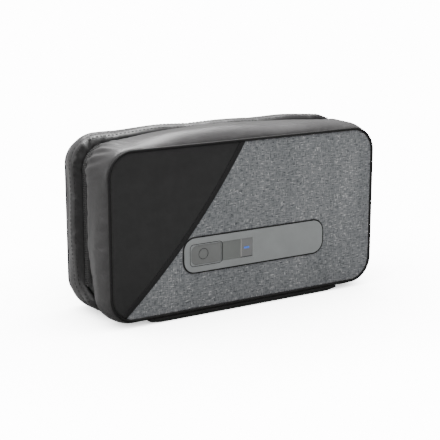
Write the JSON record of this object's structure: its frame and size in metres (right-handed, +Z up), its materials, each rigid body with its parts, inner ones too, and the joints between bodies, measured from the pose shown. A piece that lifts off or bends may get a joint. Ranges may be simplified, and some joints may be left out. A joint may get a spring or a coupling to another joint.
{
  "type": "uv sterilizer pouch",
  "caption": "Zippered clamshell pouch with stiff panels, puffed side walls and a lamp unit with a power key that disinfects what is put inside.",
  "frame": {"origin": "on the floor under the middle of the pouch, which stands on its base strip", "axes": "+X to the right along the front panel, +Y from the front to the back, +Z up"},
  "size_m": [0.225, 0.0676, 0.1244],
  "materials": {
    "black_cover": "smooth coated fabric",
    "melange_cover": "heather woven fabric",
    "trim": "matte coated band",
    "gusset_fabric": "soft coated fabric with a silky sheen",
    "piping": "matte cord",
    "board": "pressed board",
    "silver_lining": "reflective foil fabric",
    "zipper_tape": "woven tape",
    "zipper_coil": "nylon coil",
    "slider_metal": "black satin",
    "bezel_plastic": "fine satin grey",
    "key_plastic": "satin grey",
    "inlay_plastic": "dark grey",
    "lens_plastic": "clear grey tile",
    "light_bar_plastic": "glowing blue",
    "led_plastic": "small lamp",
    "pcb_laminate": "green laminate",
    "switch_body": "black",
    "battery_foil": "foil pouch",
    "emitter_ceramic": "ceramic",
    "quartz": "clear quartz",
    "housing_plastic": "white",
    "steel": "plain",
    "magnet_nickel": "nickel plated",
    "ribbon_film": "amber film"
  },
  "bodies": {
    "front_half": {"front_panel_corner": "black_cover", "front_panel_melange": "melange_cover", "diagonal_trim": "trim", "front_stiffener": "board", "front_lining": "silver_lining", "front_gusset": "gusset_fabric", "front_piping": "piping", "front_zipper_tape": "zipper_tape", "front_zipper_coil": "zipper_coil", "bottom_gusset": "gusset_fabric", "bottom_lining": "silver_lining", "module_bezel": "bezel_plastic", "control_inlay": "inlay_plastic", "indicator_lens": "lens_plastic", "light_bar": "light_bar_plastic", "indicator_led": "led_plastic", "tactile_switch": "switch_body", "main_pcb": "pcb_laminate", "battery_cell": "battery_foil", "uv_lamp_strip": "pcb_laminate", "uv_emitters": "emitter_ceramic", "uv_windows": "quartz", "strip_connector": "switch_body", "module_rear_housing": "housing_plastic", "housing_screws": "steel", "charging_socket": "steel", "lid_sensor": "switch_body", "sensor_ribbon": "ribbon_film"},
    "back_half": {"back_panel": "melange_cover", "back_stiffener": "board", "back_lining": "silver_lining", "back_gusset": "gusset_fabric", "back_piping": "piping", "back_zipper_tape": "zipper_tape", "back_zipper_coil": "zipper_coil", "lid_magnet": "magnet_nickel"},
    "slider": {"zipper_slider": "slider_metal"},
    "pull_tab": {"pull_tab": "slider_metal"},
    "power_button": {"power_key": "key_plastic", "switch_plunger": "switch_body"}
  },
  "joints": [
    {"name": "lid_hinge", "type": "hinge", "parent": "front_half", "child": "back_half", "pos_m": [0, 0.034, 0], "axis": [-1, 0, 0], "range_deg": [0, 90], "deforming": ["back_zipper_coil"]},
    {"name": "slider_run", "type": "slide", "parent": "front_half", "child": "slider", "axis": [0, 0, 1], "range_m": [0, 0.066]},
    {"name": "pull_hinge", "type": "hinge", "parent": "slider", "child": "pull_tab", "pos_m": [0.10955, 0.0045, 0.03055], "axis": [0, -1, 0], "range_deg": [0, 175]},
    {"name": "power_press", "type": "slide", "parent": "front_half", "child": "power_button", "axis": [0, 1, 0], "range_m": [0, 0.0005], "stiffness_N_per_m": 400, "springref_m": -0.0025}
  ]
}
